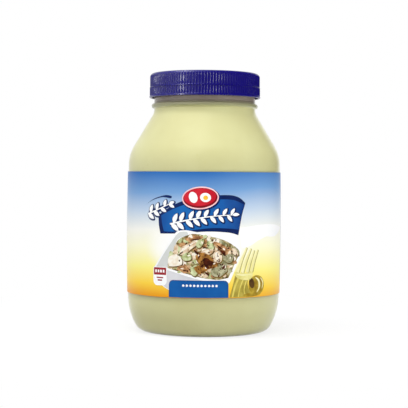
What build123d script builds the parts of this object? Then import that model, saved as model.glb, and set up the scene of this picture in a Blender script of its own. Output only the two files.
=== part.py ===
"""A one-litre mayonnaise jar: clear jar, its contents, a wrap-round label and a ribbed screw lid.

Millimetres. The jar stands on Z = 0, its axis is Z, and the middle of the label faces -Y.
"""

from build123d import *
from math import cos, degrees, radians, sin, tan
import os

# ---- Jar ------------------------------------------------------------------
body_radius = 49.4  # bare wall above and below the label panel
jar_height = 165.6  # base to sealing rim
wall = 1.0  # blown wall of body, shoulder and base

heel_radius = 7.7  # small arc that leaves the foot ring
heel_angle = 61.6  # turn of that arc, in degrees from the floor
flank_radius = 41.0  # long arc that brings the heel upright
foot_width = 4.1  # flat ring that the jar stands on
punt_height = 5.0  # dome pushed up inside the foot ring
gate_radius = 2.6  # moulding point in the middle of the dome
gate_length = 0.8

neck_radius = 33.0
neck_length = 4.3  # below the bead, down to where the cone's line meets the neck
cone_angle = 31.0  # shoulder cone, from the vertical
shoulder_radius = 25.0  # fillet from cone to body
neck_fillet = 9.0  # fillet from cone to neck
bead_radius = 1.75  # half-round ring below the lid
bead_gap = 3.55  # from the bead's top to the lid's lower edge

rim_width = 2.0  # wall of the neck above the bead
rim_round = 0.6
bore_taper = 2.4  # height over which the neck's inside narrows to the mouth

thread_pitch = 5.0
thread_turns = 1.25
thread_depth = 1.5
thread_root = 2.6  # width of the ridge inside its wall
thread_crest = 1.0
thread_bite = 0.3  # ridge sunk into its wall, so that both are one solid
thread_land = 1.05  # plain rim above the jar's thread
thread_lead = 40.0  # angle from +X to the ridge's lower end

# ---- Label and label panel -------------------------------------------------
label_drop = 4.3  # from the shoulder's fillet down to the label
label_lift = 1.9  # from the top of the flank up to the label
label_thickness = 0.2
label_lap = 9.0  # width of the overlap at the back
glue_line = 0.15  # between label and jar
panel_margin = 0.5  # panel showing past each edge of the label
panel_step = 0.35  # panel raised above the bare wall
panel_bulge = 0.35  # extra radius at the middle of the panel

# ---- Contents --------------------------------------------------------------
headspace = 3.0  # from the rim down to the mayonnaise
fill_gap = 0.15  # between contents and wall

# ---- Lid -------------------------------------------------------------------
lid_top = 1.9  # thickness over the rim
lid_wall = 0.9  # skirt between the ribs
lid_clearance = 0.35  # between the skirt's inside and the jar's thread
lid_land = 1.6  # plain skirt below the lid's thread
lid_round = 2.1  # top corner
lid_step_height = 6.8  # lower edge of the lid to the ledge round its skirt
lid_step = 0.15  # skirt above the ledge stands back by this
lid_lip_height = 1.2  # plain band along the lower edge
lid_lip = 0.45  # band's projection past the skirt
rib_count = 120
rib_radius = 0.45
rib_height = 0.35  # rib's projection past the skirt
recess_margin = 4.25  # from the skirt in to the shallow dish in the top
recess_depth = 0.6

# ---- Worked out from the sizes above ---------------------------------------
heel_turn = radians(heel_angle)
foot_radius = body_radius - heel_radius * sin(heel_turn) - flank_radius * (1 - sin(heel_turn))
foot_inner = foot_radius - foot_width
flank_top = heel_radius * (1 - cos(heel_turn)) + flank_radius * cos(heel_turn)

bore = neck_radius - rim_width
thread_rise = thread_pitch * thread_turns
thread_start = jar_height - thread_land - thread_root / 2 - thread_rise
lid_thread_start = thread_start - thread_pitch / 2
lid_bottom = lid_thread_start - thread_root / 2 - lid_land
lid_height = jar_height + lid_top - lid_bottom
lid_bore = neck_radius + thread_depth + lid_clearance
lid_radius = lid_bore + lid_wall

bead_height = lid_bottom - bead_gap - bead_radius
neck_base = bead_height - neck_length
cone_base = neck_base - (body_radius - neck_radius) / tan(radians(cone_angle))
shoulder_base = cone_base - shoulder_radius * tan(radians(cone_angle / 2))

label_top = shoulder_base - label_drop
label_bottom = flank_top + label_lift
panel_radius = body_radius + panel_step
panel_low = label_bottom - panel_margin
panel_high = label_top + panel_margin
beyond = body_radius * 2  # longer than anything it cuts

os.makedirs("parts", exist_ok=True)


def jar_outline():
    """Half section of the jar's outside, without panel, bead or thread, as closed lines."""
    with BuildLine() as line:
        heel = CenterArc((foot_radius, heel_radius), heel_radius, -90, heel_angle)
        flank = CenterArc(
            (body_radius - flank_radius, flank_top), flank_radius, heel_angle - 90, 90 - heel_angle
        )
        upper = FilletPolyline(
            flank @ 1,
            (body_radius, cone_base),
            (neck_radius, neck_base),
            (neck_radius, jar_height),
            (0, jar_height),
            radius=[shoulder_radius, neck_fillet, rim_round],
        )
        dome = TangentArc((0, punt_height), (foot_inner, 0), tangent=(1, 0))
        Line(dome @ 1, heel @ 0)
        Line(upper @ 1, dome @ 0)
    return line


def cavity_section(gap):
    """Half section of the space inside the jar, gap away from its wall, open past the rim."""
    taper_top = bead_height - bead_radius + bore_taper / 2
    taper_base = taper_top - bore_taper
    with BuildSketch(Plane.XZ) as section:
        with BuildLine():
            add(jar_outline().line)
        make_face()
        mirror(about=Plane.YZ)
        offset(amount=-(wall + gap), mode=Mode.REPLACE)
        # Above the taper the space is only as wide as the mouth.
        with BuildLine():
            Polyline(
                (bore - gap, jar_height + wall),
                (bore - gap, taper_top),
                (neck_radius - wall - gap, taper_base),
                (beyond, taper_base),
                (beyond, jar_height + wall),
                close=True,
            )
        make_face(mode=Mode.SUBTRACT)
        with Locations((0, jar_height)):
            Rectangle(2 * (bore - gap), 4 * wall)
        # The rim's inner edge is rounded.
        with BuildLine():
            lip = CenterArc((bore - gap + rim_round, jar_height - rim_round), rim_round, 90, 90)
            Polyline(
                lip @ 1,
                (bore - gap, jar_height + wall),
                (bore - gap + rim_round, jar_height + wall),
                lip @ 0,
            )
        make_face()
        split(bisect_by=Plane.YZ, keep=Keep.TOP)
    return section


def panel_arc(gap):
    """The label panel's bulged surface in half section, upwards, gap outside it."""
    return ThreePointArc(
        (panel_radius + gap, panel_low),
        (panel_radius + gap + panel_bulge, (panel_low + panel_high) / 2),
        (panel_radius + gap, panel_high),
    )


def label_section(gap):
    """Half section of one thickness of label, gap outside the panel."""
    with BuildSketch(Plane.XZ) as section:
        with BuildLine():
            back = panel_arc(gap)
            face = panel_arc(gap + label_thickness)
            Line(back @ 0, face @ 0)
            Line(back @ 1, face @ 1)
        make_face()
        with Locations((body_radius, (label_bottom + label_top) / 2)):
            Rectangle(beyond, label_top - label_bottom, mode=Mode.INTERSECT)
    return section


def thread_ridge(wall_radius, out, low):
    """A helical ridge on a round wall, standing outwards (out = 1) or inwards (out = -1)."""
    with BuildPart() as ridge:
        with BuildLine():
            turn = Helix(thread_pitch, thread_rise, wall_radius, center=(0, 0, low))
        with BuildSketch(Plane(origin=turn @ 0, x_dir=(1, 0, 0), z_dir=turn % 0)):
            with BuildLine():
                # The flanks run on into the wall, so that they cross its surface.
                Polyline(
                    (-out * thread_bite, -thread_root / 2),
                    (out * thread_depth, -thread_crest / 2),
                    (out * thread_depth, thread_crest / 2),
                    (-out * thread_bite, thread_root / 2),
                    close=True,
                )
            make_face()
        sweep(path=turn, is_frenet=True)
    return ridge.part.rotate(Axis.Z, thread_lead)


def ribbed_section(radius):
    """Cross-section of the lid's skirt with its ribs, as a full disc."""
    with BuildSketch() as section:
        Circle(radius)
        with PolarLocations(radius + rib_height - rib_radius, rib_count):
            Circle(rib_radius)
    return section


# ---- Jar ------------------------------------------------------------------
with BuildPart() as jar:
    with BuildSketch(Plane.XZ):
        with BuildLine():
            add(jar_outline().line)
        make_face()
        with Locations((neck_radius, bead_height)):
            Circle(bead_radius)
    revolve(axis=Axis.Z)
    with BuildSketch(Plane.XZ):
        with BuildLine():
            panel = panel_arc(0)
            Polyline(
                panel @ 1,
                (body_radius - wall / 2, panel_high),
                (body_radius - wall / 2, panel_low),
                panel @ 0,
            )
        make_face()
    revolve(axis=Axis.Z)
    add(thread_ridge(neck_radius, 1, thread_start))
    add(cavity_section(0).sketch)
    revolve(axis=Axis.Z, mode=Mode.SUBTRACT)
    with Locations((0, 0, punt_height - gate_length)):
        Cylinder(gate_radius, gate_length + wall / 2, align=(Align.CENTER, Align.CENTER, Align.MIN))
jar.part.label = "jar"

# ---- Mayonnaise, filling the jar to just under the rim ----------------------
with BuildPart() as mayonnaise:
    add(cavity_section(fill_gap).sketch)
    revolve(axis=Axis.Z)
    split(bisect_by=Plane.XY.offset(jar_height - headspace), keep=Keep.BOTTOM)
mayonnaise.part.label = "mayonnaise"

# ---- Label, with its overlap at the back ------------------------------------
lap_angle = degrees(label_lap / (panel_radius + panel_bulge))
with BuildPart() as label:
    add(label_section(glue_line).sketch)
    revolve(axis=Axis.Z)
    add(label_section(glue_line + label_thickness).sketch.rotate(Axis.Z, 90 - lap_angle / 2))
    revolve(axis=Axis.Z, revolution_arc=lap_angle)
label.part.label = "label"

# ---- Lid ---------------------------------------------------------------------
with BuildPart() as lid:
    with BuildSketch(Plane.XY.offset(lid_bottom)):
        add(ribbed_section(lid_radius).sketch)
    extrude(amount=lid_step_height)
    with BuildSketch(Plane.XY.offset(lid_bottom + lid_step_height)):
        add(ribbed_section(lid_radius - lid_step).sketch)
    extrude(amount=lid_height - lid_step_height)
    with BuildSketch(Plane.XY.offset(lid_bottom)):
        Circle(lid_radius + lid_lip)
    extrude(amount=lid_lip_height)
    # The top corner is rounded through skirt and ribs alike.
    with BuildSketch(Plane.XZ):
        with Locations((0, lid_bottom)):
            Rectangle(lid_radius + lid_lip, lid_height, align=(Align.MIN, Align.MIN))
        fillet(vertices().group_by(Axis.Y)[-1].sort_by(Axis.X)[-1], lid_round)
    revolve(axis=Axis.Z, mode=Mode.INTERSECT)
    with BuildSketch(Plane.XY.offset(lid_bottom)):
        Circle(lid_bore)
    extrude(amount=jar_height - lid_bottom, mode=Mode.SUBTRACT)
    with BuildSketch(Plane.XY.offset(lid_bottom + lid_height)):
        Circle(lid_radius - recess_margin)
    extrude(amount=-recess_depth, mode=Mode.SUBTRACT)
    add(thread_ridge(lid_bore, -1, lid_thread_start))
lid.part.label = "lid"

for piece in (jar, mayonnaise, label, lid):
    export_step(piece.part, f"parts/{piece.part.label}.step")
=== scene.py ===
import random
from math import atan2, cos, hypot, pi, radians, sin, tan

import bmesh
import bpy
from mathutils import Matrix, Vector


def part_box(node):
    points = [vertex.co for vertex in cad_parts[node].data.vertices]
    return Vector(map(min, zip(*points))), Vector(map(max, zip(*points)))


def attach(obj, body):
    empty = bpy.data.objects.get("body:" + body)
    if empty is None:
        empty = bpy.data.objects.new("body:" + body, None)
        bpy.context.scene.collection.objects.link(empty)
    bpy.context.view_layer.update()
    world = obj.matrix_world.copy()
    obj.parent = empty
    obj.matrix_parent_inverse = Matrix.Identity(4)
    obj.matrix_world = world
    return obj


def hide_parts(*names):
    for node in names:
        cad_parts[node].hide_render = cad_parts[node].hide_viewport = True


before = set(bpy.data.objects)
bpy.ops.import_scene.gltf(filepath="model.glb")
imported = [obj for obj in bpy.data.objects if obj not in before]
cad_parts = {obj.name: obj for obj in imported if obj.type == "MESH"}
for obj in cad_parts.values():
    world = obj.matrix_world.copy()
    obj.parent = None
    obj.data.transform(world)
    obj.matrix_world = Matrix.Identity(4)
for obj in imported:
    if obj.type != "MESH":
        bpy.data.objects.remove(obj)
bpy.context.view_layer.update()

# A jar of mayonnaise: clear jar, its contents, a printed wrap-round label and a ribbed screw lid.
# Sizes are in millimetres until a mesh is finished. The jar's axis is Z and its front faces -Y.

MM = 0.001
AXIS = (0, 0, 1)

# ---- Sizes ----

jar_low, jar_high = (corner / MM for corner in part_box("jar"))
lid_low, lid_high = (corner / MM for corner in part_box("lid"))
label_low, label_high = (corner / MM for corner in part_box("label"))

JAR_HEIGHT = jar_high.z
LABEL_BOTTOM = label_low.z
LABEL_HEIGHT = label_high.z - label_low.z
LID_BOTTOM = lid_low.z
LID_TOP = lid_high.z
LID_LIP_RADIUS = lid_high.x

BODY_RADIUS = 49.4
WALL = 1.0
HEEL_RADIUS, HEEL_ANGLE, FLANK_RADIUS = 7.7, 61.6, 41.0
FOOT_WIDTH, PUNT_HEIGHT = 4.1, 5.0
NECK_RADIUS, CONE_ANGLE, SHOULDER_RADIUS, NECK_FILLET = 33.0, 31.0, 25.0, 9.0
BEAD_RADIUS, BEAD_GAP, NECK_LENGTH = 1.75, 3.55, 4.3
RIM_WIDTH, RIM_ROUND, BORE_TAPER = 2.0, 0.6, 2.4
PANEL_STEP, PANEL_BULGE, PANEL_MARGIN = 0.35, 0.35, 0.5
HEADSPACE = 3.0
SINK = 0.2  # how far the mayonnaise reaches into the wall

HEEL_TURN = radians(HEEL_ANGLE)
FOOT_RADIUS = BODY_RADIUS - HEEL_RADIUS * sin(HEEL_TURN) - FLANK_RADIUS * (1 - sin(HEEL_TURN))
FOOT_INNER = FOOT_RADIUS - FOOT_WIDTH
FLANK_TOP = HEEL_RADIUS * (1 - cos(HEEL_TURN)) + FLANK_RADIUS * cos(HEEL_TURN)
BEAD_HEIGHT = LID_BOTTOM - BEAD_GAP - BEAD_RADIUS
NECK_BASE = BEAD_HEIGHT - NECK_LENGTH
CONE_BASE = NECK_BASE - (BODY_RADIUS - NECK_RADIUS) / tan(radians(CONE_ANGLE))
PANEL_LOW = LABEL_BOTTOM - PANEL_MARGIN
PANEL_HIGH = LABEL_BOTTOM + LABEL_HEIGHT + PANEL_MARGIN

THREAD_PITCH, THREAD_TURNS, THREAD_DEPTH = 5.0, 1.25, 1.5
THREAD_ROOT, THREAD_CREST = 2.6, 1.0
THREAD_SINK = 0.3  # how far the thread reaches into its wall
THREAD_LOW = 157.0  # where the jar's thread starts

LID_CLEARANCE = 0.35  # between the jar's thread and the lid's inside
LID_LIP = 0.45  # how far the lip stands out from the skirt
LID_LIP_HEIGHT = 1.2
LID_BORE = NECK_RADIUS + THREAD_DEPTH + LID_CLEARANCE
LID_RADIUS = LID_LIP_RADIUS - LID_LIP
LID_LEDGE = LID_BOTTOM + 6.8
RIB_COUNT, RIB_HEIGHT = 120, 0.4
RIB_SINK = 0.15  # how far the grooves lie inside the skirt
RIB_BIAS = 0.15  # makes the ribs wider than the grooves
RIB_SAMPLES = 10  # columns of points to a rib
LID_PARTS = 40  # the lid is turned as this many equal slices, then joined

GLUE = 0.02
LABEL_THICKNESS = 0.1
LABEL_LAP = 9.0
LABEL_COLUMNS, LABEL_ROWS = 252, 24
INK = 0.018  # each layer of ink lies this much above the one below it
PANEL_WIDEST = BODY_RADIUS + PANEL_STEP + PANEL_BULGE
ROUND_LENGTH = 2 * pi * PANEL_WIDEST

TURN_STEPS = 192
THREAD_STEPS = 90
MERGE = 0.0005  # points nearer than this become one


# ---- Outlines ----

def arc(centre, radius, start, turn, steps):
    """Points on an arc, from the angle start through turn, in degrees."""
    angles = (radians(start + turn * i / steps) for i in range(steps + 1))
    return [(centre[0] + radius * cos(a), centre[1] + radius * sin(a)) for a in angles]


def rounded(corners, steps=8):
    """A path through (x, y, radius) corners, each rounded by an arc of its radius."""
    path = []
    for i, (x, y, radius) in enumerate(corners):
        if radius == 0:
            path.append((x, y))
            continue
        here = Vector((x, y))
        before = (Vector(corners[i - 1][:2]) - here).normalized()
        after = (Vector(corners[(i + 1) % len(corners)][:2]) - here).normalized()
        half = before.angle(after) / 2
        centre = here + (before + after).normalized() * (radius / sin(half))
        first = here + before * (radius / tan(half)) - centre
        last = here + after * (radius / tan(half)) - centre
        start = atan2(first.y, first.x)
        turn = (atan2(last.y, last.x) - start + pi) % (2 * pi) - pi
        for step in range(steps + 1):
            a = start + turn * step / steps
            path.append((centre.x + radius * cos(a), centre.y + radius * sin(a)))
    return path


def panel_radius(z):
    """Outer radius of the jar's label panel, which bulges a little at its middle."""
    t = 2 * (z - PANEL_LOW) / (PANEL_HIGH - PANEL_LOW) - 1
    return BODY_RADIUS + PANEL_STEP + PANEL_BULGE * (1 - t * t)


def jar_outline(inset):
    """The jar's half section from the middle of its base to below the bead, inset from its outside."""
    shift = inset * tan(radians(CONE_ANGLE / 2))
    punt_radius = (FOOT_INNER**2 + PUNT_HEIGHT**2) / (2 * PUNT_HEIGHT)
    punt_turn = -atan2(FOOT_INNER, punt_radius - PUNT_HEIGHT) * 180 / pi
    path = arc((0, PUNT_HEIGHT - punt_radius + inset), punt_radius, 90, punt_turn, 10)
    path += arc((FOOT_RADIUS, HEEL_RADIUS), HEEL_RADIUS - inset, -90, HEEL_ANGLE, 12)
    flank_centre = (BODY_RADIUS - FLANK_RADIUS, FLANK_TOP)
    path += arc(flank_centre, FLANK_RADIUS - inset, HEEL_ANGLE - 90, 90 - HEEL_ANGLE, 10)[1:]
    shoulder = [
        (BODY_RADIUS - inset, FLANK_TOP, 0),
        (BODY_RADIUS - inset, CONE_BASE - shift, SHOULDER_RADIUS - inset),
        (NECK_RADIUS - inset, NECK_BASE - shift, NECK_FILLET + inset),
        (NECK_RADIUS - inset, BEAD_HEIGHT - BEAD_RADIUS, 0),
    ]
    return path + rounded(shoulder, 14)[1:]


def panel_outline():
    """The raised label panel, from its lower edge to its upper."""
    slope, steps = 0.3, 12
    low, height = PANEL_LOW + slope, PANEL_HIGH - PANEL_LOW - 2 * slope
    heights = [low + height * i / steps for i in range(steps + 1)]
    return [(BODY_RADIUS, PANEL_LOW), *((panel_radius(z), z) for z in heights), (BODY_RADIUS, PANEL_HIGH)]


# ---- Mesh tools ----

def lathe(section, steps=TURN_STEPS, parts=1):
    """Turns a half section of (radius, height) points once round the axis, as one or more equal slices."""
    mesh = bmesh.new()
    corners = [mesh.verts.new((x, 0, z)) for x, z in section]
    edges = [mesh.edges.new(pair) for pair in zip(corners, corners[1:])]
    bmesh.ops.spin(
        mesh, geom=corners + edges, cent=(0, 0, 0), axis=AXIS,
        angle=2 * pi / parts, steps=steps // parts, use_merge=parts == 1
    )
    if parts > 1:
        first_slice = mesh.verts[:] + mesh.edges[:] + mesh.faces[:]
        bmesh.ops.spin(
            mesh, geom=first_slice, cent=(0, 0, 0), axis=AXIS,
            angle=2 * pi, steps=parts, use_merge=False, use_duplicate=True
        )
    bmesh.ops.remove_doubles(mesh, verts=mesh.verts, dist=MERGE)
    bmesh.ops.recalc_face_normals(mesh, faces=mesh.faces)
    return mesh


def add_thread(mesh, wall_radius, out, low):
    """Winds a screw thread on a round wall, outwards (out = 1) or inwards (out = -1)."""
    section = [
        (-THREAD_SINK, -THREAD_ROOT / 2), (THREAD_DEPTH, -THREAD_CREST / 2),
        (THREAD_DEPTH, THREAD_CREST / 2), (-THREAD_SINK, THREAD_ROOT / 2),
    ]
    corners = [mesh.verts.new((wall_radius + out * x, 0, low + z)) for x, z in section]
    face = mesh.faces.new(corners)
    rise = (0, 0, THREAD_PITCH * THREAD_TURNS / THREAD_STEPS)
    bmesh.ops.duplicate(mesh, geom=[face])  # stays behind to close the ridge's first end
    bmesh.ops.spin(
        mesh, geom=[face], cent=(0, 0, 0), axis=AXIS,
        dvec=rise, angle=2 * pi * THREAD_TURNS, steps=THREAD_STEPS
    )
    bmesh.ops.remove_doubles(mesh, verts=mesh.verts, dist=MERGE)
    bmesh.ops.recalc_face_normals(mesh, faces=mesh.faces)


def finish_piece(name, mesh, material, slot, *nodes, sharp=30):
    """Scales a bmesh from millimetres, makes it a piece of the object and gives it its finish."""
    bmesh.ops.scale(mesh, vec=(MM, MM, MM), verts=mesh.verts)
    for face in mesh.faces:
        face.smooth = True
    data = bpy.data.meshes.new(name)
    mesh.to_mesh(data)
    mesh.free()
    data.set_sharp_from_angle(angle=radians(sharp))
    data.materials.append(material)
    piece = bpy.data.objects.new(name, data)
    bpy.context.scene.collection.objects.link(piece)
    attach(piece, "root")
    if nodes:
        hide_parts(*nodes)
    return piece


# ---- Materials ----

def srgb(red, green, blue):
    """A colour given as 0 to 255, for a shader."""
    values = (v / 255 for v in (red, green, blue))
    return (*(v / 12.92 if v <= 0.04045 else ((v + 0.055) / 1.055) ** 2.4 for v in values), 1)


def grey(value):
    """A grey of a linear brightness, for a shader."""
    return (value, value, value, 1)


BLACK, WHITE = grey(0), grey(1)


def new_material(name, **settings):
    """A material with one Principled shader, and its node tree and shader."""
    material = bpy.data.materials.new(name)
    material.use_nodes = True
    tree = material.node_tree
    shader = tree.nodes["Principled BSDF"]
    for socket, value in settings.items():
        shader.inputs[socket.replace("_", " ")].default_value = value
    return material, tree, shader


def add_node(tree, kind, links=(), **settings):
    """A node with its properties set and its inputs, by name or number, linked or filled in."""
    node = tree.nodes.new(kind)
    for key, value in settings.items():
        setattr(node, key, value)
    for key, value in dict(links).items():
        if isinstance(value, bpy.types.NodeSocket):
            tree.links.new(value, node.inputs[key])
        else:
            node.inputs[key].default_value = value
    return node


def noise(tree, place, scale, detail=3.0, rough=0.5):
    """Noise that repeats about scale times in a metre."""
    links = {"Vector": place, "Scale": scale, "Detail": detail, "Roughness": rough}
    return add_node(tree, "ShaderNodeTexNoise", links).outputs["Fac"]


def ramp(tree, factor, stops, ease="LINEAR"):
    """A colour ramp through (position, colour) stops."""
    node = add_node(tree, "ShaderNodeValToRGB", {"Fac": factor})
    node.color_ramp.interpolation = ease
    band = node.color_ramp.elements
    for _ in range(len(stops) - 2):
        band.new(0.5)
    for element, (position, colour) in zip(band, stops):
        element.position = position
        element.color = colour
    return node.outputs["Color"]


def mixed(tree, factor, first, second):
    """Two colours mixed by a factor."""
    links = {0: factor, 6: first, 7: second}
    return add_node(tree, "ShaderNodeMix", links, data_type="RGBA").outputs[2]


def maths(tree, operation, first, second=0.0, clamp=False):
    """A Math node's result."""
    links = {0: first, 1: second}
    return add_node(tree, "ShaderNodeMath", links, operation=operation, use_clamp=clamp).outputs[0]


def bump(tree, shader, height, strength, distance):
    """Gives a shader relief, of a depth in metres."""
    links = {"Height": height, "Strength": strength, "Distance": distance}
    tree.links.new(add_node(tree, "ShaderNodeBump", links).outputs[0], shader.inputs["Normal"])


def object_place(tree):
    """The place on the piece, in metres."""
    return add_node(tree, "ShaderNodeTexCoord").outputs["Object"]


def clear_plastic():
    """Clear blown plastic with faint flow ripples. Light from the lamps passes straight through."""
    material, tree, shader = new_material(
        "clear_plastic", Base_Color=srgb(244, 247, 242), Roughness=0.05, IOR=1.5, Transmission_Weight=1.0
    )
    place = object_place(tree)
    bump(tree, shader, noise(tree, place, 28.0, 2.0), 0.35, 0.0006)
    light = add_node(tree, "ShaderNodeLightPath").outputs
    passed = maths(tree, "MAXIMUM", light["Is Shadow Ray"], light["Is Diffuse Ray"])
    open_side = add_node(tree, "ShaderNodeBsdfTransparent", {"Color": srgb(240, 242, 236)}).outputs[0]
    mix = add_node(tree, "ShaderNodeMixShader", {0: passed, 1: shader.outputs[0], 2: open_side})
    tree.links.new(mix.outputs[0], tree.nodes["Material Output"].inputs["Surface"])
    return material


def mayonnaise_cream():
    """Pale yellow emulsion, slightly uneven, with tiny air holes; above the ring, painted shade of the lid,
    turning violet-grey near it as a painted reflection of the lid.
    """
    material, tree, shader = new_material("mayonnaise", Roughness=0.42, Specular_IOR_Level=0.35)
    place = object_place(tree)
    cloud = noise(tree, place, 34.0, 4.0)
    cream = ramp(tree, cloud, [(0.3, srgb(218, 211, 157)), (0.7, srgb(226, 221, 171))])
    holes = add_node(tree, "ShaderNodeTexVoronoi", {"Vector": place, "Scale": 330.0}).outputs["Distance"]
    rare = noise(tree, place, 75.0, 2.0)
    near = maths(tree, "LESS_THAN", holes, 0.16)
    hole = maths(tree, "MULTIPLY", near, maths(tree, "GREATER_THAN", rare, 0.6))
    cream = mixed(tree, hole, cream, srgb(217, 210, 152))
    # Painted shade: above the ring the cream is painted grey as the lid's shadow, and violet-grey near the
    # lid as a painted reflection of it.
    height = add_node(tree, "ShaderNodeSeparateXYZ", {0: place}).outputs["Z"]
    lid_shade_foot, lid_shade_height, waver = (BEAD_HEIGHT - 0.9) * MM, 0.005, 0.0008
    above = maths(tree, "SUBTRACT", height, lid_shade_foot)
    above = maths(tree, "ADD", above, maths(tree, "MULTIPLY", rare, waver))
    above = maths(tree, "DIVIDE", above, lid_shade_height)
    painted_lid_shade = ramp(tree, above, [(0.0, srgb(166, 167, 120)), (0.9, srgb(158, 142, 134))])
    lid_shade_mask = maths(tree, "MULTIPLY", above, 5.0, clamp=True)
    tree.links.new(mixed(tree, lid_shade_mask, cream, painted_lid_shade), shader.inputs["Base Color"])
    bump(tree, shader, noise(tree, place, 110.0, 3.0), 0.25, 0.0004)
    return material


def lid_plastic():
    """Deep violet-blue moulded plastic with a very fine matte grain."""
    material, tree, shader = new_material("lid_plastic", Specular_IOR_Level=0.6)
    place = object_place(tree)
    tone = noise(tree, place, 22.0, 3.0)
    blue = ramp(tree, tone, [(0.3, srgb(13, 4, 104)), (0.7, srgb(18, 7, 116))])
    tree.links.new(blue, shader.inputs["Base Color"])
    grain = noise(tree, place, 2600.0, 2.0)
    wear = noise(tree, place, 60.0, 3.0)
    gloss = ramp(tree, wear, [(0.3, grey(0.2)), (0.7, grey(0.28))])
    tree.links.new(gloss, shader.inputs["Roughness"])
    bump(tree, shader, grain, 0.03, 0.0001)
    return material


def coated_paper(name):
    """The sheen and faint tooth of coated paper, still without its colour."""
    material, tree, shader = new_material(name, Roughness=0.34, Specular_IOR_Level=0.2)
    bump(tree, shader, noise(tree, object_place(tree), 900.0, 3.0), 0.18, 0.00006)
    return material, tree, shader


def label_print():
    """Coated paper, printed from gold at the foot through white to blue, with a white glow in front."""
    material, tree, shader = coated_paper("label_print")
    spot = add_node(tree, "ShaderNodeUVMap", uv_map="print").outputs["UV"]
    along, up = add_node(tree, "ShaderNodeSeparateXYZ", {0: spot}).outputs[:2]
    wave = noise(tree, object_place(tree), 16.0, 2.0)
    right = ramp(tree, along, [(0.5, BLACK), (0.62, WHITE)])
    waver = maths(tree, "MULTIPLY", maths(tree, "SUBTRACT", wave, 0.5), 0.04)
    lean = maths(tree, "SUBTRACT", 0.03, maths(tree, "MULTIPLY", up, 0.09))
    height = maths(tree, "ADD", maths(tree, "ADD", up, waver), maths(tree, "MULTIPLY", right, lean))
    sky = ramp(tree, height, [
        (0.0, srgb(236, 152, 18)),
        (0.1, srgb(255, 214, 68)),
        (0.23, srgb(255, 246, 142)),
        (0.4, srgb(255, 253, 216)),
        (0.53, srgb(248, 248, 240)),
        (0.68, srgb(194, 212, 232)),
        (0.83, srgb(116, 161, 212)),
        (1.0, srgb(34, 104, 180)),
    ])
    glow_along, glow_up, glow_width, glow_height = 0.49, 0.4, 0.125, 0.27
    aside = maths(tree, "DIVIDE", maths(tree, "SUBTRACT", along, glow_along), glow_width)
    above = maths(tree, "DIVIDE", maths(tree, "SUBTRACT", up, glow_up), glow_height)
    squares = maths(tree, "ADD", maths(tree, "MULTIPLY", aside, aside), maths(tree, "MULTIPLY", above, above))
    glow = ramp(tree, squares, [(0.25, WHITE), (1.0, BLACK)], "EASE")
    tree.links.new(mixed(tree, glow, sky, srgb(255, 255, 253)), shader.inputs["Base Color"])
    return material


def ink(name, dark, light, scale=180.0, detail=3.0):
    """Printing ink on coated paper that wanders between two colours given as 0 to 255."""
    material, tree, shader = coated_paper(name)
    tone = noise(tree, object_place(tree), scale, detail)
    blend = ramp(tree, tone, [(0.32, srgb(*dark)), (0.68, srgb(*light))])
    tree.links.new(blend, shader.inputs["Base Color"])
    return material


# ---- Jar, mayonnaise and lid ----

def make_jar():
    """The clear shell: outside up to the rim, then back down the inside, with its screw thread."""
    neck_inside = NECK_RADIUS - WALL
    bore = NECK_RADIUS - RIM_WIDTH
    outside = jar_outline(0)
    foot = [p for p in outside if p[1] < PANEL_LOW]
    above = [p for p in outside if p[1] > PANEL_HIGH]
    bead = arc((NECK_RADIUS, BEAD_HEIGHT), BEAD_RADIUS, -90, 180, 12)
    rim = rounded([
        (NECK_RADIUS, BEAD_HEIGHT + BEAD_RADIUS, 0),
        (NECK_RADIUS, JAR_HEIGHT, RIM_ROUND),
        (bore, JAR_HEIGHT, RIM_ROUND),
        (bore, BEAD_HEIGHT - BEAD_RADIUS + BORE_TAPER / 2, 0),
        (neck_inside, BEAD_HEIGHT - BEAD_RADIUS - BORE_TAPER / 2, 0),
    ], 4)[1:]
    inside = [p for p in jar_outline(WALL) if p[1] < rim[-1][1]][::-1]
    mesh = lathe(foot + panel_outline() + above[:-1] + bead + rim + inside)
    add_thread(mesh, NECK_RADIUS, 1, THREAD_LOW)
    return finish_piece("clear_jar", mesh, clear_plastic(), "clear_plastic", "jar")


def make_mayonnaise():
    """The filling, a little into the wall all over, with a slack uneven top under the lid."""
    reach = WALL - SINK
    bore = NECK_RADIUS - RIM_WIDTH + SINK
    ring = NECK_RADIUS - reach
    top = JAR_HEIGHT - HEADSPACE
    side = [p for p in jar_outline(reach) if p[1] < BEAD_HEIGHT - BEAD_RADIUS - BORE_TAPER / 2]
    neck = [
        (ring, BEAD_HEIGHT - 1.5),
        *arc((ring, BEAD_HEIGHT), 1.25, -90, 180, 8),
        (ring, BEAD_HEIGHT + 1.5),
        (bore, BEAD_HEIGHT + BEAD_RADIUS + BORE_TAPER / 2),
        (bore, top - 0.8),
    ]
    rings, swirl_height, slump = 24, 0.35, 0.3
    surface = [(bore * (1 - i / rings), top) for i in range(1, rings + 1)]
    mesh = lathe(side + neck + surface)
    for vert in mesh.verts:
        if vert.co.z > top - 0.5:
            out = hypot(vert.co.x, vert.co.y)
            swirl = sin(out * 0.55 - 2 * atan2(vert.co.y, vert.co.x))
            vert.co.z += swirl_height * swirl * min(1, out / 8) * min(1, (bore - out) / 4) - slump
    return finish_piece("mayonnaise_fill", mesh, mayonnaise_cream(), "mayonnaise", "mayonnaise")


def rib_strength(z):
    """How much of a rib stands out at a height: all on the skirt, none at the lip, ledge and top."""
    rise = min(1, max(0, (z - LID_BOTTOM - LID_LIP_HEIGHT) / 0.5))
    fall = min(1, max(0, (LID_TOP - 1.0 - z) / 1.4))
    ledge = 0 if abs(z - LID_LEDGE) < 0.45 else 1
    return rise * fall * ledge


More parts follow.
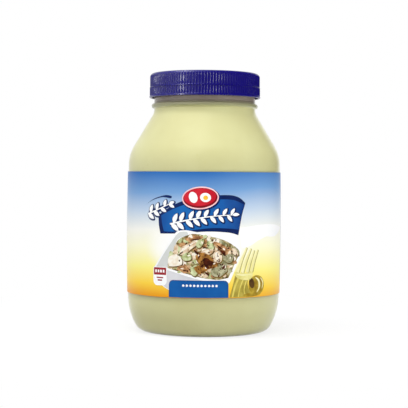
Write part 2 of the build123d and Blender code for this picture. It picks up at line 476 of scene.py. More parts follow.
def make_lid():
    """The screw lid: hollow underneath, ribbed round its skirt, with a shallow dish in the top."""
    skirt = [
        (LID_BORE, LID_BOTTOM + 0.3),
        (LID_BORE + 0.3, LID_BOTTOM),
        (LID_LIP_RADIUS - 0.3, LID_BOTTOM),
        (LID_LIP_RADIUS, LID_BOTTOM + 0.3),
        (LID_LIP_RADIUS, LID_BOTTOM + 0.95),
        (LID_RADIUS + 0.1, LID_BOTTOM + LID_LIP_HEIGHT),
    ]
    lower = [(LID_RADIUS, LID_BOTTOM + rise) for rise in (1.45, 1.7, 4.1, 6.2)]
    ledge = [
        (LID_RADIUS + 0.1, LID_LEDGE - 0.4),
        (LID_RADIUS + 0.35, LID_LEDGE - 0.3),
        (LID_RADIUS + 0.35, LID_LEDGE - 0.1),
        (LID_RADIUS - 0.2, LID_LEDGE + 0.35),
    ]
    upper = [(LID_RADIUS - 0.2, LID_LEDGE + rise) for rise in (0.6, 3.0, 5.2, 6.2)]
    corner = arc((LID_RADIUS - 2.25, LID_TOP - 2.1), 2.1, 0, 90, 8)
    dish = LID_TOP - 0.6
    top = rounded([
        (LID_RADIUS - 2.4, LID_TOP, 0),
        (32.0, LID_TOP, 0.35),
        (31.5, dish, 0.35),
        (30.9, dish, 0),
        (22.4, dish, 0),
        (22.1, dish, 0.1),
        (21.95, dish + 0.18, 0.06),
        (21.45, dish + 0.18, 0.06),
        (21.3, dish, 0.1),
        (21.0, dish, 0),
        (12.0, dish, 0),
        (2.6, dish, 0),
        (2.3, dish, 0.12),
        (2.0, dish + 0.25, 0.12),
        (1.4, dish + 0.25, 0),
        (0, dish + 0.25, 0),
    ], 2)
    ceiling = [(0, JAR_HEIGHT), (LID_BORE - 0.5, JAR_HEIGHT), (LID_BORE, JAR_HEIGHT - 0.5)]
    section = ceiling + skirt + lower + ledge + upper + corner + top
    mesh = lathe(section, RIB_COUNT * RIB_SAMPLES, LID_PARTS)
    for vert in mesh.verts:
        out = hypot(vert.co.x, vert.co.y)
        if out > LID_RADIUS - 2.2 and vert.co.z > LID_BOTTOM + 1.15:
            wave = cos(atan2(vert.co.y, vert.co.x) * RIB_COUNT)
            crest = max(0, RIB_BIAS + (1 - RIB_BIAS) * wave)
            grow = 1 + (RIB_HEIGHT * crest - RIB_SINK) * rib_strength(vert.co.z) / out
            vert.co.x *= grow
            vert.co.y *= grow
    add_thread(mesh, LID_BORE, -1, THREAD_LOW - THREAD_PITCH / 2)
    return finish_piece("ribbed_lid", mesh, lid_plastic(), "lid", "lid", sharp=40)


# ---- Label ----

def wrap(mesh, lift):
    """Bends a flat mesh of (along, up) millimetres round the label panel, lift(along) outside it."""
    for vert in mesh.verts:
        z = LABEL_BOTTOM + vert.co.y
        radius = panel_radius(z) + GLUE + lift(vert.co.x)
        angle = vert.co.x / PANEL_WIDEST - pi / 2
        vert.co = (radius * cos(angle), radius * sin(angle), z)


def make_label():
    """One sheet wrapped round the panel, whose last few millimetres lap over its start at the back."""
    start = -ROUND_LENGTH / 2 - LABEL_LAP / 2
    length = ROUND_LENGTH + LABEL_LAP
    mesh = bmesh.new()
    bmesh.ops.create_grid(mesh, x_segments=LABEL_COLUMNS, y_segments=LABEL_ROWS, size=0.5)
    for vert in mesh.verts:
        vert.co.x = start + (vert.co.x + 0.5) * length
        vert.co.y = (vert.co.y + 0.5) * LABEL_HEIGHT
    layer = mesh.loops.layers.uv.new("print")
    for face in mesh.faces:
        for loop in face.loops:
            loop[layer].uv = (loop.vert.co.x / ROUND_LENGTH + 0.5, loop.vert.co.y / LABEL_HEIGHT)
    lap_edge = start + length - LABEL_LAP
    over = LABEL_THICKNESS + GLUE
    climb = 3  # length over which the sheet climbs on to its own start
    wrap(mesh, lambda along: over * min(1, max(0, (along - lap_edge + climb) / climb)))
    bmesh.ops.recalc_face_normals(mesh, faces=mesh.faces)
    bmesh.ops.solidify(mesh, geom=mesh.faces, thickness=-LABEL_THICKNESS)
    return finish_piece("wrap_label", mesh, label_print(), "label", "label")


def lay_ink(name, shapes, material, layer):
    """Prints flat shapes, each a list of (along, up) points, on the label, cut to bend as it does."""
    mesh = bmesh.new()
    for shape in shapes:
        mesh.faces.new([mesh.verts.new((x, y, 0)) for x, y in shape])
    bmesh.ops.triangulate(mesh, faces=mesh.faces)
    across, up = ROUND_LENGTH / LABEL_COLUMNS, LABEL_HEIGHT / LABEL_ROWS
    for normal, pitch in (((1, 0, 0), across), ((0, 1, 0), up)):
        reach = [v.co.dot(Vector(normal)) for v in mesh.verts]
        for i in range(int(min(reach) // pitch), int(max(reach) // pitch) + 1):
            everything = mesh.verts[:] + mesh.edges[:] + mesh.faces[:]
            bmesh.ops.bisect_plane(
                mesh, geom=everything, plane_co=Vector(normal) * pitch * i, plane_no=normal, dist=0.0001
            )
    bmesh.ops.triangulate(mesh, faces=mesh.faces)
    wrap(mesh, lambda along: LABEL_THICKNESS + INK * layer)
    for face in mesh.faces:
        face.normal_update()
        middle = face.calc_center_median()
        if face.normal.dot(Vector((middle.x, middle.y, 0))) < 0:
            face.normal_flip()
    return finish_piece(name, mesh, material, "label")


# ---- Printed shapes, in millimetres along and up the label from the middle of its foot ----

draw = random.Random(11)
YOLK = ((246, 176, 40), (255, 204, 70))


def smooth(points, steps=5):
    """A smooth open curve through points."""
    ends = [points[0], *points, points[-1]]
    path = []
    for a, b, c, d in zip(ends, ends[1:], ends[2:], ends[3:]):
        for step in range(steps):
            t = step / steps
            path.append(tuple(
                0.5 * (
                    2 * q + (r - p) * t
                    + (2 * p - 5 * q + 4 * r - s) * t**2
                    + (3 * q - p - 3 * r + s) * t**3
                )
                for p, q, r, s in zip(a, b, c, d)
            ))
    return path + [points[-1]]


def outline(start, *runs):
    """A closed shape: from start along each run as one smooth curve, with a corner between runs."""
    path, here = [], start
    for run in runs:
        path += smooth([here, *run])[:-1]
        here = run[-1]
    return path + [here]


def ring_curve(points, steps):
    """A smooth closed shape through points."""
    most = smooth([points[-1], *points, points[0]], steps)[steps:-steps - 1]
    return most + smooth([*points[-2:], *points[:2]], steps)[steps:2 * steps]


def blob(x, y, width, height, turn=0.0, rough=0.12, corners=9):
    """An uneven round shape, such as a morsel of food."""
    points = []
    for i in range(corners):
        a = 2 * pi * i / corners
        size = 1 + draw.uniform(-rough, rough)
        points.append((width / 2 * size * cos(a), height / 2 * size * sin(a)))
    return [turned(point, x, y, turn) for point in ring_curve(points, 3)]


def blobs(*rows):
    """One blob for each row of what blob takes."""
    return [blob(*row) for row in rows]


def turned(point, x, y, turn):
    """A point turned about the origin by degrees, then moved to (x, y)."""
    a = radians(turn)
    return (x + point[0] * cos(a) - point[1] * sin(a), y + point[0] * sin(a) + point[1] * cos(a))


def oval(x, y, width, height, turn=0.0, steps=36):
    """A plain ellipse."""
    angles = (2 * pi * i / steps for i in range(steps))
    return [turned((width / 2 * cos(a), height / 2 * sin(a)), x, y, turn) for a in angles]


def block(x, y, width, height, low=0.0, high=0.0):
    """An upright box with its lower left corner at (x, y), and its lower and upper corners rounded."""
    right, top = x + width, y + height
    return rounded([(x, y, low), (right, y, low), (right, top, high), (x, top, high)], 5)


def brush(points, first, last, middle=None):
    """A stroke along a smooth curve, whose width goes from first through middle to last."""
    path = smooth(points)
    middle = (first + last) / 2 if middle is None else middle
    left, right = [], []
    for i, (x, y) in enumerate(path):
        before, after = path[max(0, i - 1)], path[min(len(path) - 1, i + 1)]
        run = Vector((after[0] - before[0], after[1] - before[1])).normalized()
        t = i / (len(path) - 1)
        half = (first * (1 - t) ** 2 + 2 * t * (1 - t) * (2 * middle - (first + last) / 2) + last * t**2) / 2
        left.append((x - run.y * half, y + run.x * half))
        right.append((x + run.y * half, y - run.x * half))
    return left + right[::-1]


def leaf(x, y, length, width, turn):
    """A pointed leaf from (x, y), bowed a little to one side."""
    upper = smooth([(0, 0), (length * 0.35, width * 0.55), (length * 0.75, width * 0.42), (length, 0)])
    lower = smooth([(length, 0), (length * 0.7, -width * 0.34), (length * 0.3, -width * 0.38), (0, 0)])
    return [turned(point, x, y, turn) for point in upper[:-1] + lower[:-1]]


def grown(shape, margin, x=0.0, y=0.0):
    """A shape grown by a margin all round, then moved by (x, y)."""
    area = sum(a[0] * b[1] - b[0] * a[1] for a, b in zip(shape, shape[1:] + shape[:1]))
    side = 1 if area > 0 else -1
    path = []
    for before, here, after in zip(shape[-1:] + shape[:-1], shape, shape[1:] + shape[:1]):
        run = Vector((after[0] - before[0], after[1] - before[1])).normalized()
        path.append((here[0] + side * run.y * margin + x, here[1] - side * run.x * margin + y))
    return path


def spray(points, count, length, width, lean):
    """A leafy spray: a stem along a smooth curve with leaves on both its sides, smaller to its tip."""
    stem = smooth(points, 12)
    shapes = [brush(points, 1.0, 0.4)]
    for i in range(count):
        t = 0.04 + 0.9 * i / (count - 1)
        x, y = stem[int(t * (len(stem) - 1))]
        ahead = stem[min(len(stem) - 1, int(t * (len(stem) - 1)) + 3)]
        way = atan2(ahead[1] - y, ahead[0] - x) * 180 / pi
        size = 1 - 0.3 * t
        shapes.append(leaf(x, y, length * size, width * size, way + (lean if i % 2 else -lean)))
    return shapes + [leaf(*stem[-3], length * 0.7, width * 0.7, way)]


def print_ribbon():
    """The blue ribbon across the label's front, with white leafy sprays. Gives its navy and white inks."""
    shade = ink("ink_navy", (2, 28, 82), (5, 38, 98))
    ribbon = outline(
        (-30, 51),
        [(-17.7, 58.2), (-5, 62), (13, 63.8), (21.9, 62.5), (26.9, 58.8)],
        [(24.7, 52), (23.2, 45), (22.1, 38.9)],
        [(15.5, 40.6), (2, 41.2), (-15, 39.9), (-28.4, 39.5)],
        [(-29.6, 45), (-30, 51)],
    )
    swoosh = outline((-40.2, 57.6), [(-33.2, 61.2), (-25, 63.4), (-20.6, 62.9)],
                     [(-21.2, 61.5), (-27, 62.1), (-34, 60.4), (-40.2, 57.6)])
    word_spray = spray([(-38.5, 51.5), (-31, 54.2), (-21.5, 58.2)], 7, 6.0, 2.9, 50)
    long_spray = spray([(-21.5, 45.6), (-9, 48.4), (5, 50.6), (19.5, 51.6)], 16, 6.9, 3.0, 54)
    backing = brush([(-37.6, 51.6), (-31, 54), (-23, 57.2)], 3.6, 3.0)
    spray_backing = [grown(s, 0.75, 0.25, -0.35) for s in word_spray]
    lay_ink("ribbon_shade", [ribbon, swoosh, backing, *spray_backing], shade, 1)
    face = outline(
        (-27.9, 50.8),
        [(-18, 55.5), (-5, 59.5), (8.8, 61), (18.6, 60.7), (26.2, 57.8)],
        [(24.2, 52), (23, 46), (22.5, 42.3)],
        [(15.5, 43.1), (5, 43.4), (-6, 42.2), (-17.9, 41), (-25.8, 40.9)],
        [(-27.2, 46), (-27.9, 50.8)],
    )
    lay_ink("ribbon_face", [face], ribbon_ink(), 2)
    lay_ink("spray_shade", [grown(s, 0.7, 0.35, -0.3) for s in long_spray], shade, 3)
    white = ink("ink_white", (250, 252, 253), (255, 255, 255))
    lay_ink("white_sprays", word_spray + long_spray, white, 4)
    return shade, white


def ribbon_ink():
    """Bright blue ink, deeper towards the ribbon's right end."""
    material, tree, shader = coated_paper("ink_ribbon_blue")
    place = object_place(tree)
    along = add_node(tree, "ShaderNodeSeparateXYZ", {0: place}).outputs["X"]
    drift = maths(tree, "MULTIPLY", maths(tree, "SUBTRACT", noise(tree, place, 140.0), 0.5), 0.012)
    left_end, width = 0.03, 0.058
    spot = maths(tree, "ADD", maths(tree, "ADD", along, drift), left_end)
    blue = ramp(tree, maths(tree, "DIVIDE", spot, width), [
        (0.0, srgb(10, 72, 150)), (0.25, srgb(22, 103, 180)),
        (0.7, srgb(20, 92, 170)), (1.0, srgb(6, 48, 120)),
    ])
    tree.links.new(blue, shader.inputs["Base Color"])
    return material


def print_plaque(shade, white):
    """A red oval plaque with a pale keyline and two eggs, over the ribbon's upper edge."""
    x, y, tilt = -2.3, 61.9, 4.0
    keyline = ink("ink_rose", (250, 190, 196), (255, 222, 224))
    red = ink("ink_red", (196, 22, 40), (216, 40, 56), 120.0)
    dark_red = ink("ink_dark_red", (120, 8, 24), (150, 14, 32))
    lay_ink("plaque_shade", [oval(x + 0.5, y - 0.6, 23.8, 14.8, tilt)], shade, 4.5)
    lay_ink("plaque_keyline", [oval(x, y, 23.0, 14.0, tilt)], keyline, 5)
    lay_ink("plaque_dark", [oval(x, y, 21.4, 12.4, tilt)], dark_red, 6)
    lay_ink("plaque_red", [oval(x - 0.2, y + 0.5, 20.0, 10.8, tilt)], red, 7)
    yolk = ink("ink_yolk", *YOLK)
    lay_ink("eggs", [oval(x - 4.4, y + 0.3, 5.2, 7.0, 20), oval(x + 3.2, y + 0.3, 6.8, 5.6, -8)], white, 8)
    lay_ink("egg_yolk", [oval(x + 3.3, y + 0.1, 3.0, 2.8)], yolk, 9)


def print_dish():
    """A white square dish of salad, seen from one corner."""
    china = ink("ink_china", (250, 251, 252), (255, 255, 255))
    china_shade = ink("ink_china_shade", (202, 205, 203), (219, 222, 219), 60.0)
    china_front = ink("ink_china_front", (208, 208, 213), (222, 222, 226), 60.0)
    dish = outline(
        (-32.8, 18.6),
        [(-25, 29.6), (-18.3, 39.4)],
        [(-16.4, 41.3), (-11, 41.9), (-4.8, 40.9), (6, 38.6), (17, 35), (24.7, 29.6)],
        [(20.6, 19), (16.4, 9.5)],
        [(5, 7), (-8, 5.6), (-22, 4.6)],
        [(-26.5, 7), (-30, 12), (-32.8, 18.6)],
    )
    inner = outline((-31.4, 18.7), [(-24.5, 28.8), (-17.4, 38.6)], [(-15, 40.6), (-10.6, 41), (-9.6, 38.9)],
                    [(-16.4, 36), (-19.4, 27.5), (-23.3, 18.4)], [(-27, 17.6), (-31.4, 18.7)])
    front = outline((-31.4, 16.8), [(-23.3, 16.9), (-14.4, 14.6), (-1.6, 11.2), (5.6, 10.2), (15.5, 9.6)],
                    [(10, 6.5), (-6, 5.6), (-21.9, 4.9)], [(-26, 7.2), (-29.4, 11.6), (-31.4, 16.8)])
    lay_ink("dish", [dish], china, 4.3)
    lay_ink("dish_inside", [inner], china_shade, 4.6)
    lay_ink("dish_front", [front], china_front, 4.6)


def in_heap(x, y, margin):
    """Whether a point lies on the heap of salad, at least a margin inside its edge."""
    ridge = 39.6 - (0.03 if x < -5 else 0.0135) * (x + 5) ** 2
    foot = 12.3 + 0.0054 * (x - 9) ** 2
    right = (y + 20.5) / 2.1
    left = -24 + max(0, 24 - y) * 0.1 if y < 27 else -22 + (y - 27) * 0.68
    return foot + margin < y < ridge - margin and left + margin < x < right - margin


def print_salad():
    """The salad: a dark bed full of small pieces, then chicken, celery and walnut on top."""
    bed = outline(
        (-23, 18.3),
        [(-22.2, 25), (-19.2, 29), (-16.2, 35.6), (-9.6, 39), (-4.8, 39.7), (3.1, 38.3), (8.7, 37.2),
         (14.5, 35.1), (18.8, 32.6), (22.3, 29.8), (23.2, 27.6)],
        [(20.9, 23.6), (18.1, 17.6), (15.6, 12.6)],
        [(9.6, 11.5), (5.6, 11.7), (-1.6, 12.8), (-14.4, 16), (-23, 18.3)],
    )
    lay_ink("salad_bed", [bed], salad_ink(), 5)
    inks = {
        "herb": ink("ink_herb", (112, 110, 68), (204, 200, 164), 420.0, 5.0),
        "chicken": ink("ink_chicken", (196, 154, 108), (252, 240, 214), 380.0, 5.0),
        "celery": ink("ink_celery", (150, 160, 88), (228, 234, 190), 380.0, 5.0),
        "walnut": ink("ink_walnut", (112, 58, 24), (226, 176, 122), 420.0, 5.0),
        "dressing": ink("ink_dressing", (238, 224, 200), (255, 252, 242), 400.0),
    }
    roast = ink("ink_roast", (82, 38, 8), (196, 140, 66), 420.0, 5.0)
    dark = ink("ink_walnut_dark", (30, 8, 3), (98, 40, 14), 420.0, 4.0)
    gap = ink("ink_salad_gap", (84, 58, 26), (130, 106, 54), 300.0)
    print_bits(inks)
    chicken = blobs(
        (-9.6, 31.4, 15.4, 5.0, 33, 0.24), (2.4, 28.8, 6.8, 4.4, 20, 0.3, 7),
        (8.8, 25.6, 5.4, 7.4, 15, 0.2, 5), (19.4, 28.6, 5.6, 3.4, -40, 0.24, 7),
    )
    cream = [outline(
        (-22.2, 25), [(-20, 26.4), (-17, 27)], [(-14.6, 25.4), (-13.2, 23.2)],
        [(-13.4, 21), (-15, 20)], [(-18.6, 19.4), (-22, 19.4)], [(-22.8, 22), (-22.2, 25)],
    )]
    herb = blobs((9.6, 16.4, 9.6, 6.6, 10, 0.24, 8), (15.6, 24.4, 6.0, 6.4, 15, 0.24, 8))
    celery = blobs(
        (-10.4, 25.4, 6.8, 6.2, 20, 0.24, 7), (-2.2, 33.6, 4.0, 7.0, -35, 0.24, 7),
        (4.0, 33.0, 4.4, 5.4, 20, 0.26, 6), (-6.2, 16.6, 5.6, 4.6, -30, 0.26, 7),
    )
    walnut = blobs(
        (-6.2, 37.0, 10.4, 3.0, 6, 0.22), (11.4, 30.8, 10.6, 4.4, -36, 0.26),
        (-12.6, 17.8, 8.6, 4.2, -6, 0.26),
    )
    roasted = blobs(
        (1.0, 23.6, 12.6, 9.8, -38, 0.22), (-0.6, 18.6, 8.4, 6.6, 10, 0.26),
        (5.6, 20.6, 5.6, 5.2, 0, 0.24),
    )
    hollows = blobs(
        (1.6, 23.6, 5.6, 3.4, -30, 0.4, 8), (4.2, 21.6, 5.4, 4.4, 20, 0.4, 8),
        (1.4, 20.6, 4.4, 2.2, -60, 0.4, 7), (-4.8, 28.6, 3.6, 1.4, -50, 0.3),
        (12.4, 28.2, 4.4, 2.0, -50, 0.3), (-5.4, 36.2, 5.4, 0.9, 8, 0.2),
        (-11.2, 17.0, 4.0, 0.8, -10, 0.3), (2.4, 15.0, 3.8, 1.2, -30, 0.3),
        (12.4, 19.2, 3.4, 1.7, 50, 0.3), (-14.4, 27.4, 4.6, 0.8, 36, 0.3),
        (0.6, 31.4, 3.4, 0.9, -20, 0.3), (-0.8, 20.2, 3.0, 1.0, 40, 0.3),
        (-2.6, 25.6, 2.2, 1.2, 60, 0.3), (9.6, 31.6, 4.6, 0.8, -36, 0.3),
    )
    lay_ink("salad_gaps", [grown(s, 0.2, 0.42, -0.62) for s in chicken + celery + cream + herb], gap, 8)
    lay_ink("chicken", chicken, inks["chicken"], 9.3)
    lay_ink("celery", celery, inks["celery"], 9.5)
    lay_ink("cream_chunk", cream, inks["dressing"], 9)
    lay_ink("herbs", herb, inks["herb"], 9.7)
    lay_ink("walnuts", walnut, inks["walnut"], 10)
    lay_ink("roasted_piece", roasted, roast, 10.4)
    dab_places = (
        (-7.6, 37.6, 10), (-3.2, 26.6, -60), (12.6, 30.4, -36), (-13.4, 18.2, 0), (1.8, 19, 20),
        (-1.0, 34.6, -60), (-9.2, 26.4, 20), (16.8, 25, 60), (6.6, 21.6, 30), (4.4, 34.6, 0),
    )
    dabs = [grown(s, -1.5, -0.4, 0.5) for s in chicken]
    dabs += [blob(x, y, 1.8, 0.9, turn, 0.3, 6) for x, y, turn in dab_places]
    lay_ink("dressing", dabs, inks["dressing"], 11)
    lay_ink("salad_hollows", hollows + scattered_crumbs(84), dark, 12)


def print_bits(inks):
    """Two tiers of small pieces all over the heap, greener at its right."""
    cell, flatten = 3.1, 0.86
    left_kinds = ("chicken", "chicken", "dressing", "celery", "celery", "walnut")
    right_kinds = ("herb", "herb", "herb", "walnut", "chicken", "dressing")
    for tier in (0, 1):
        morsels = {kind: [] for kind in inks}
        for row in range(11):
            for column in range(tier ^ (row % 2), 16, 2):
                x = -24 + cell * column + draw.uniform(-0.6, 0.6)
                y = 11.5 + cell * flatten * row + draw.uniform(-0.5, 0.5)
                kind = draw.choice(left_kinds if x < 7 else right_kinds)
                wide, tall = draw.uniform(2.8, 4.2), draw.uniform(2.0, 3.2)
                turn = draw.uniform(0, 180)
                if in_heap(x, y, 0.9):
                    morsels[kind].append(blob(x, y, wide, tall, turn, 0.34, 5))
        for i, (kind, shapes) in enumerate(morsels.items()):
            lay_ink(f"{kind}_bits_{tier + 1}", shapes, inks[kind], 6 + tier + 0.2 * i)


def scattered_crumbs(count):
    """Crumbs strewn over the heap, more of them towards its right."""
    crumbs = []
    while len(crumbs) < count:
        x, y = draw.triangular(-21, 22, 12), draw.uniform(12, 38)
        size = draw.uniform(0.5, 1.5)
        if in_heap(x, y, 1.2):
            crumbs.append(blob(x, y, size, size * 0.6, draw.uniform(0, 180), 0.3, 5))
    return crumbs


def salad_ink():
    """Ink for the salad's bed, which wanders between brown, green and cream."""
    material, tree, shader = coated_paper("ink_salad_bed")
    tone = noise(tree, object_place(tree), 430.0, 4.0, 0.6)
    mix = ramp(tree, tone, [
        (0.3, srgb(62, 36, 14)), (0.42, srgb(108, 84, 42)), (0.52, srgb(152, 142, 88)),
        (0.62, srgb(206, 190, 150)), (0.72, srgb(120, 124, 74)),
    ])
    tree.links.new(mix, shader.inputs["Base Color"])
    return material


def print_table(white):
    """A white wisp, and in front of it a fork on a folded napkin with its ring, at the dish's right."""
    olive = ink("ink_olive", (170, 160, 88), (200, 190, 116))
    napkin = ink("ink_napkin", (150, 132, 46), (194, 176, 78), 200.0)
    gold = ink("ink_gold", (214, 196, 84), (236, 222, 120), 160.0)
    pale_gold = ink("ink_pale_gold", (240, 232, 160), (250, 244, 190))
    wisp = outline(
        (23.2, 43.4),
        [(40, 45.2), (55, 45), (69.5, 42.6)],
        [(58, 38), (50, 37.4), (44.9, 37.6), (37.2, 35.2), (31, 32.2), (24.6, 30.6)],
        [(23.6, 37), (23.2, 43.4)],
    )
    lay_ink("white_wisp", [wisp], white, 2)
    cloth = outline((20.2, 13.8), [(18.6, 7.5), (16.6, 0.4)], [(26, 0.4), (34, 0.4)],
                    [(31, 4), (29.2, 8), (29.4, 12)], [(24.8, 13.4), (20.2, 13.8)])
    lay_ink("napkin", [cloth], napkin, 2)
    folds = [
        brush([(22.6, 12.6), (20, 6.6), (18.6, 0.6)], 1.6, 1.0),
        brush([(26, 12), (23.6, 6), (22.6, 0.6)], 1.0, 0.7),
        brush([(28.2, 10.6), (26.6, 5), (28, 0.6)], 0.8, 0.5),
    ]
    lay_ink("napkin_folds", folds, gold, 3)
    tines = [
        ((28, 31), (21.6, 16)), ((31.3, 30.4), (24.9, 15.6)),
        ((33.9, 29.2), (28.6, 15.8)), ((37, 29.4), (31.8, 16)),
    ]
    bow = 0.4
    strokes = [[tip, ((tip[0] + root[0]) / 2 - bow, (tip[1] + root[1]) / 2), root] for tip, root in tines]
    lay_ink("tine_edges", [grown(brush(stroke, 0.9, 2.4), 0.2, 0.4, -0.1) for stroke in strokes], olive, 3)
    lay_ink("tines", [brush(stroke, 0.9, 2.2) for stroke in strokes], pale_gold, 4)
    head = outline((19.8, 16.2), [(25, 15.4), (29, 15.2), (33, 16.4)], [(33, 13.4), (31.4, 11.4), (29, 10.8)],
                   [(25, 11.2), (22, 12.2), (20.4, 13.6)], [(19.8, 16.2)])
    fork = ink("ink_fork", (222, 212, 118), (246, 238, 164), 220.0)
    lay_ink("fork_head", [head], fork, 5)
    lay_ink("fork_shine", [brush([(21, 14.8), (25.4, 14.2), (31.6, 14.6)], 0.5, 0.5, 1.1)], pale_gold, 6)
    band = ink("ink_ring", (142, 112, 20), (196, 168, 56), 300.0)
    hole = ink("ink_ring_hole", (70, 44, 18), (112, 80, 30))
    lay_ink("napkin_ring", [oval(36.6, 7.4, 13.4, 12.4, -8), oval(33, 1.7, 14, 2.4, 2)], band, 4)
    lay_ink("ring_hole", [oval(32.4, 8.8, 4.2, 6.6, 14)], hole, 5)
    shine = [brush([(35.4, 12.4), (38.4, 10), (38.8, 6.2), (36.8, 3)], 0.5, 0.4, 1.5),
             brush([(39.8, 12), (42.2, 8.8), (41.4, 5)], 0.4, 0.3, 0.9)]
    lay_ink("ring_shine", shine, pale_gold, 5)


def print_marks(white):
    """The blue tab at the foot and a small shield, with plain marks where words would be."""
    blue = ink("ink_tab_blue", (8, 82, 156), (16, 96, 172), 60.0)
    rim = ink("ink_tab_rim", (12, 62, 128), (18, 72, 140))
    claret = ink("ink_claret", (142, 38, 46), (166, 52, 58))
    lay_ink("tab_rim", [block(-22.1, 0.25, 37.9, 10.7, 0, 2.9)], rim, 6)
    lay_ink("tab", [block(-21.6, 0.25, 36.9, 10.2, 0, 2.5)], blue, 7)
    beads = [leaf(-13.4 + 2.3 * i, 7.6, 1.7, 1.5, 0) for i in range(10)]
    lay_ink("tab_marks", beads, white, 8)
    lay_ink("shield", [block(-33.6, 7.2, 10, 11.6, 3.0, 0.8)], white, 6)
    lay_ink("shield_top", [block(-33.2, 13.8, 9.2, 4.6, 0, 0.5)], claret, 7)
    lay_ink("shield_marks", [block(-32.1 + 1.9 * i, 15.3, 1.2, 1.7) for i in range(4)], white, 8)
    lines = [block(-31 + inset, 11.7 - 1.6 * i, 4.8 - 2 * inset, 0.8) for i, inset in ((0, 0), (1, 0.8))]
    lay_ink("shield_lines", lines, claret, 7)


def print_back(shade, white):
    """Two plain panels at the back: ruled lines on one, a wreath round an egg on the other."""
    blue = ink("ink_back_blue", (20, 80, 150), (30, 98, 172), 60.0)
    lay_ink("ruled_panel_rim", [block(71.4, 7.4, 49.2, 63.2, 3.6, 3.6)], blue, 1)
    lay_ink("ruled_panel", [block(72, 8, 48, 62, 3, 3)], white, 2)
    rules = [block(75.5, 64.4, 41, 1.8)]
    rules += [block(75.5, 60.5 - 4.3 * i, 41, 1.0 if i % 5 == 0 else 0.35) for i in range(12)]
    lay_ink("panel_rules", rules, shade, 3)
    x, y, wreath_radius, leaves = -96, 44, 15.5, 18
    lay_ink("wreath_disc_rim", [oval(x, y, 45.4, 45.4, 0, 60)], white, 1)
    lay_ink("wreath_disc", [oval(x, y, 43.6, 43.6, 0, 60)], blue, 2)
    wreath = []
    for i in range(leaves):
        bearing = 2 * pi * (i + 0.5) / leaves
        leaf_x, leaf_y = x + wreath_radius * cos(bearing), y + wreath_radius * sin(bearing)
        side = 24 if i % 2 else -24
        way = bearing * 180 / pi + (90 if cos(bearing) > 0 else -90) + side
        wreath.append(leaf(leaf_x, leaf_y, 6.6, 2.9, way))
    lay_ink("wreath", [*wreath, oval(x, y, 12.5, 16.5, 0, 40)], white, 3)
    lay_ink("wreath_yolk", [oval(x, 42.6, 7.2, 7.2)], ink("ink_back_yolk", *YOLK), 4)
    rules = [block(x - wide / 2, 13.4 - 3.4 * i, wide, 1.1) for i, wide in enumerate((38, 32, 22))]
    lay_ink("wreath_rules", rules, shade, 1)


# ---- Studio ----

def floor_white():
    """White where it is seen, softly shaded near the jar, and greys for what it mirrors and lights."""
    material = bpy.data.materials.new("floor_white")
    material.use_nodes = True
    tree = material.node_tree
    tree.nodes.clear()
    light = add_node(tree, "ShaderNodeLightPath").outputs
    seen = maths(tree, "MAXIMUM", light["Is Camera Ray"], light["Is Transmission Ray"])
    place = object_place(tree)
    across, depth, _ = add_node(tree, "ShaderNodeSeparateXYZ", {0: place}).outputs
    far = add_node(tree, "ShaderNodeVectorMath", {0: place}, operation="LENGTH").outputs["Value"]
    away = maths(tree, "MULTIPLY", far, 2.5)
    back = maths(tree, "ADD", depth, 0.5)
    right = maths(tree, "ADD", across, 0.5)
    open_floor = ramp(tree, away, [(0.1, grey(0.8)), (0.62, WHITE)], "EASE")
    behind = ramp(tree, back, [(0.36, grey(0.3)), (0.56, WHITE)], "EASE")
    side = ramp(tree, right, [(0.35, grey(0.34)), (0.65, grey(0.68))])
    white = add_node(tree, "ShaderNodeEmission", {"Color": WHITE, "Strength": 1.0}).outputs[0]
    mirrored = add_node(tree, "ShaderNodeEmission", {"Color": behind, "Strength": 1.0}).outputs[0]
    matte = add_node(tree, "ShaderNodeBsdfDiffuse", {"Color": grey(0.9)}).outputs[0]
    dim = add_node(tree, "ShaderNodeBsdfDiffuse", {"Color": side}).outputs[0]
    shown = add_node(tree, "ShaderNodeMixShader", {0: open_floor, 1: matte, 2: white}).outputs[0]
    mix = add_node(tree, "ShaderNodeMixShader", {0: light["Is Glossy Ray"], 1: dim, 2: mirrored}).outputs[0]
    mix = add_node(tree, "ShaderNodeMixShader", {0: seen, 1: mix, 2: shown}).outputs[0]
    output = add_node(tree, "ShaderNodeOutputMaterial")
    tree.links.new(mix, output.inputs["Surface"])
    return material


def make_floor():
    """A wide pale floor, a hair under the jar so that their faces don't meet."""
    radius, gap = 0.7, 0.0002
    mesh = bmesh.new()
    bmesh.ops.create_circle(mesh, cap_ends=True, radius=radius, segments=96)
    data = bpy.data.meshes.new("floor")
    mesh.to_mesh(data)
    mesh.free()
    data.materials.append(floor_white())
    floor = bpy.data.objects.new("floor", data)
    floor.location.z = jar_low.z * MM - gap
    bpy.context.scene.collection.objects.link(floor)


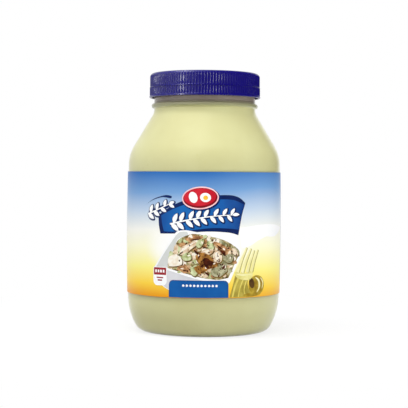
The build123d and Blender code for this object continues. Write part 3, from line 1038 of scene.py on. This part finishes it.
def make_world():
    """White where it is seen, a room dimmer in front, and bright and dark bearings for reflections."""
    world = bpy.data.worlds.new("studio")
    bpy.context.scene.world = world
    world.use_nodes = True
    tree = world.node_tree
    back = tree.nodes["Background"]
    light = add_node(tree, "ShaderNodeLightPath").outputs
    seen = maths(tree, "MAXIMUM", light["Is Camera Ray"], light["Is Transmission Ray"])
    way = add_node(tree, "ShaderNodeTexCoord").outputs["Generated"]
    across, depth, _ = add_node(tree, "ShaderNodeSeparateXYZ", {0: way}).outputs
    bearing = maths(tree, "ARCTAN2", across, maths(tree, "MULTIPLY", depth, -1.0))
    round_room = maths(tree, "ADD", maths(tree, "DIVIDE", bearing, 2 * pi), 0.5)
    tones = (
        (0.0, 0.9), (0.14, 0.7), (0.22, 0.6), (0.3, 0.9), (0.36, 1.0),
        (0.43, 0.6), (0.49, 0.12), (0.6, 0.03), (0.88, 0.03), (0.95, 1.0),
    )
    mirrored = ramp(tree, round_room, [(at, grey(tone)) for at, tone in tones], "EASE")
    glow_way = (-0.45, -0.45, 0.77)  # high in front, at the left
    facing = add_node(tree, "ShaderNodeVectorMath", {0: way, 1: glow_way}, operation="DOT_PRODUCT")
    glow = ramp(tree, facing.outputs["Value"], [(0.72, BLACK), (1.0, WHITE)], "EASE")
    mirrored = mixed(tree, glow, mirrored, grey(0.8))
    room = ramp(tree, depth, [(0.0, grey(0.59)), (0.5, grey(0.8))], "EASE")
    lit = mixed(tree, light["Is Glossy Ray"], room, mirrored)
    tree.links.new(mixed(tree, seen, lit, WHITE), back.inputs["Color"])


def add_lamp(name, place, target, size, power, sheen_on=None):
    """A soft rectangular lamp aimed at a point. It gives no sheen, or only sheen and to one piece."""
    lamp = bpy.data.lights.new(name, "AREA")
    lamp.shape = "RECTANGLE"
    lamp.size, lamp.size_y = size
    lamp.energy = power
    holder = bpy.data.objects.new(name, lamp)
    holder.location = place
    holder.visible_glossy = sheen_on is not None
    holder.visible_diffuse = sheen_on is None
    if sheen_on:
        receivers = bpy.data.collections.new(name)
        receivers.objects.link(sheen_on)
        holder.light_linking.receiver_collection = receivers
    holder.rotation_euler = (Vector(target) - Vector(place)).to_track_quat("-Z", "Y").to_euler()
    bpy.context.scene.collection.objects.link(holder)


def make_camera():
    """A long lens a little above the jar's middle, looking very slightly down."""
    lens, sensor_width = 110.3, 36.0
    distance, height, pitch, roll = 0.8188, 0.0996, radians(1.19), radians(0.45)
    lens_data = bpy.data.cameras.new("camera")
    lens_data.sensor_width = sensor_width
    lens_data.lens = lens
    lens_data.clip_start = 0.05
    camera = bpy.data.objects.new("camera", lens_data)
    turn = Matrix.Rotation(pi / 2 - pitch, 4, "X") @ Matrix.Rotation(roll, 4, "Z")
    camera.matrix_world = Matrix.Translation((0, -distance, height)) @ turn
    bpy.context.scene.collection.objects.link(camera)
    bpy.context.scene.camera = camera


# ---- Everything made, in order ----

make_jar()
make_mayonnaise()
lid = make_lid()
make_label()

shade_ink, white_ink = print_ribbon()
print_plaque(shade_ink, white_ink)
print_dish()
print_salad()
print_table(white_ink)
print_marks(white_ink)
print_back(shade_ink, white_ink)

make_floor()
make_world()
middle = (0, 0, JAR_HEIGHT / 2 * MM)
lid_middle = (0, 0, (LID_BOTTOM + LID_TOP) / 2 * MM)
add_lamp("key", (-0.28, -0.46, 1.3), middle, (1.5, 0.5), 14.6)
add_lamp("left_panel", (-1.1, -0.3, 0.2), middle, (0.5, 0.9), 2.8)
add_lamp("right_panel", (0.8, -0.85, 0.0), middle, (0.5, 0.6), 6.1)
add_lamp("lid_strip", (-0.9, -0.8, 0.3), lid_middle, (0.14, 0.14), 1.8, sheen_on=lid)
add_lamp("lid_glow", (-0.45, -0.12, 1.1), lid_middle, (0.5, 0.3), 4.0, sheen_on=lid)
make_camera()
bpy.context.scene.view_settings.view_transform = "Standard"
